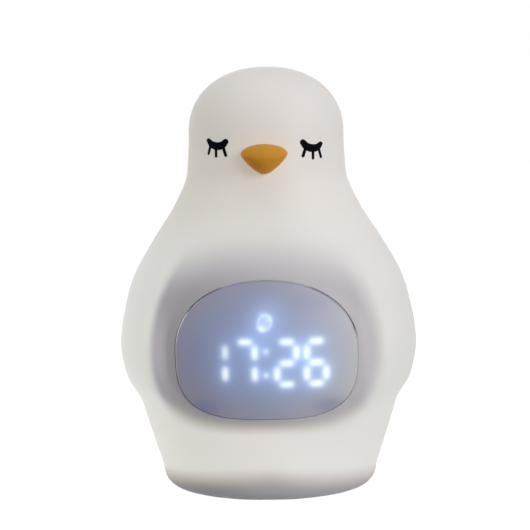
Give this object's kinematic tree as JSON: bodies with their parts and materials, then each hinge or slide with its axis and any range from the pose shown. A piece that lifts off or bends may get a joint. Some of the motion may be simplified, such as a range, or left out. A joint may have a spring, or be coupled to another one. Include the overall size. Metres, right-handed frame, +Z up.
{
  "type": "alarm clock with night light",
  "caption": "Child's alarm clock and night light shaped like a sleeping bird, with a soft glowing skin, a curved display in its belly, and keys on a rear panel.",
  "frame": {"origin": "on the surface the clock stands on, under the middle of the body's bounding box", "axes": "+Z up through the crown, -Y out of the display, +Y out of the rear panel, +X to the right as the clock is seen from the front"},
  "size_m": [0.1254, 0.0942, 0.18],
  "materials": {
    "translucent_silicone": "matte, translucent",
    "eye_black": "matte",
    "beak_mustard": "matte",
    "smoked_lens": "satin, translucent",
    "grey_plastic": "matte",
    "light_guide": "frosted",
    "circuit_board": "lacquered",
    "light_board": "lacquered",
    "led_chip": "clear over phosphor",
    "steel": "zinc plated",
    "flat_cable": "satin",
    "white_plastic": "fine grain",
    "dark_plastic": "matte",
    "diffuser_plastic": "frosted",
    "copper_foil": "bright",
    "red_wire": "satin",
    "panel_plastic": "fine spark texture",
    "light_button_plastic": "soft touch",
    "button_plastic": "soft touch",
    "speaker_paper": "pressed paper",
    "foot_rubber": "matte",
    "seal_rubber": "matte"
  },
  "bodies": {
    "clock_body": {"skin": "translucent_silicone", "eye_left": "eye_black", "eye_right": "eye_black", "beak": "beak_mustard", "display_lens": "smoked_lens", "display_housing": "grey_plastic", "digit_block": "grey_plastic", "segment_light_guides": "light_guide", "display_board": "circuit_board", "display_leds": "led_chip", "display_board_screws": "steel", "housing_screws": "steel", "display_ribbon": "flat_cable", "frame": "white_plastic", "main_board": "circuit_board", "board_components": "dark_plastic", "main_board_screws": "steel", "night_light_board": "light_board", "night_light_leds": "led_chip", "diffuser": "diffuser_plastic", "diffuser_screws": "steel", "touch_plate": "copper_foil", "touch_lead": "red_wire", "light_ribbon": "flat_cable", "rear_panel": "panel_plastic", "panel_screws": "steel", "button_board": "circuit_board", "button_board_screws": "steel", "switch_housings": "dark_plastic", "usb_socket": "steel", "speaker_basket": "grey_plastic", "speaker_cone": "speaker_paper", "speaker_magnet": "steel", "speaker_lead": "red_wire", "base_plate": "panel_plastic", "base_screws": "steel", "rubber_feet": "foot_rubber", "coin_cell": "steel", "cell_holder": "dark_plastic", "power_switch_housing": "dark_plastic"},
    "light_key": {"light_button": "light_button_plastic", "light_plunger": "dark_plastic"},
    "minus_key": {"minus_button": "button_plastic", "minus_plunger": "dark_plastic"},
    "plus_key": {"plus_button": "button_plastic", "plus_plunger": "dark_plastic"},
    "clock_key": {"clock_button": "button_plastic", "clock_plunger": "dark_plastic"},
    "alarm_key": {"alarm_button": "button_plastic", "alarm_plunger": "dark_plastic"},
    "battery_hatch": {"battery_cap": "button_plastic", "cap_seal": "seal_rubber"},
    "power_slider": {"power_switch_knob": "dark_plastic"}
  },
  "joints": [
    {"name": "light_key_press", "type": "slide", "parent": "clock_body", "child": "light_key", "axis": [0, -1, 0], "range_m": [0, 0.0008], "stiffness_N_per_m": 600, "springref_m": -0.0005},
    {"name": "minus_key_press", "type": "slide", "parent": "clock_body", "child": "minus_key", "axis": [0, -1, 0], "range_m": [0, 0.0008], "stiffness_N_per_m": 600, "springref_m": -0.0005},
    {"name": "plus_key_press", "type": "slide", "parent": "clock_body", "child": "plus_key", "axis": [0, -1, 0], "range_m": [0, 0.0008], "stiffness_N_per_m": 600, "springref_m": -0.0005},
    {"name": "clock_key_press", "type": "slide", "parent": "clock_body", "child": "clock_key", "axis": [0, -1, 0], "range_m": [0, 0.0008], "stiffness_N_per_m": 600, "springref_m": -0.0005},
    {"name": "alarm_key_press", "type": "slide", "parent": "clock_body", "child": "alarm_key", "axis": [0, -1, 0], "range_m": [0, 0.0008], "stiffness_N_per_m": 600, "springref_m": -0.0005},
    {"name": "battery_hatch_turn", "type": "hinge", "parent": "clock_body", "child": "battery_hatch", "pos_m": [0, 0, 0.0013], "axis": [0, 0, 1], "range_deg": [0, 40]},
    {"name": "power_slider_slide", "type": "slide", "parent": "clock_body", "child": "power_slider", "axis": [1, 0, 0], "range_m": [0, 0.003]}
  ]
}
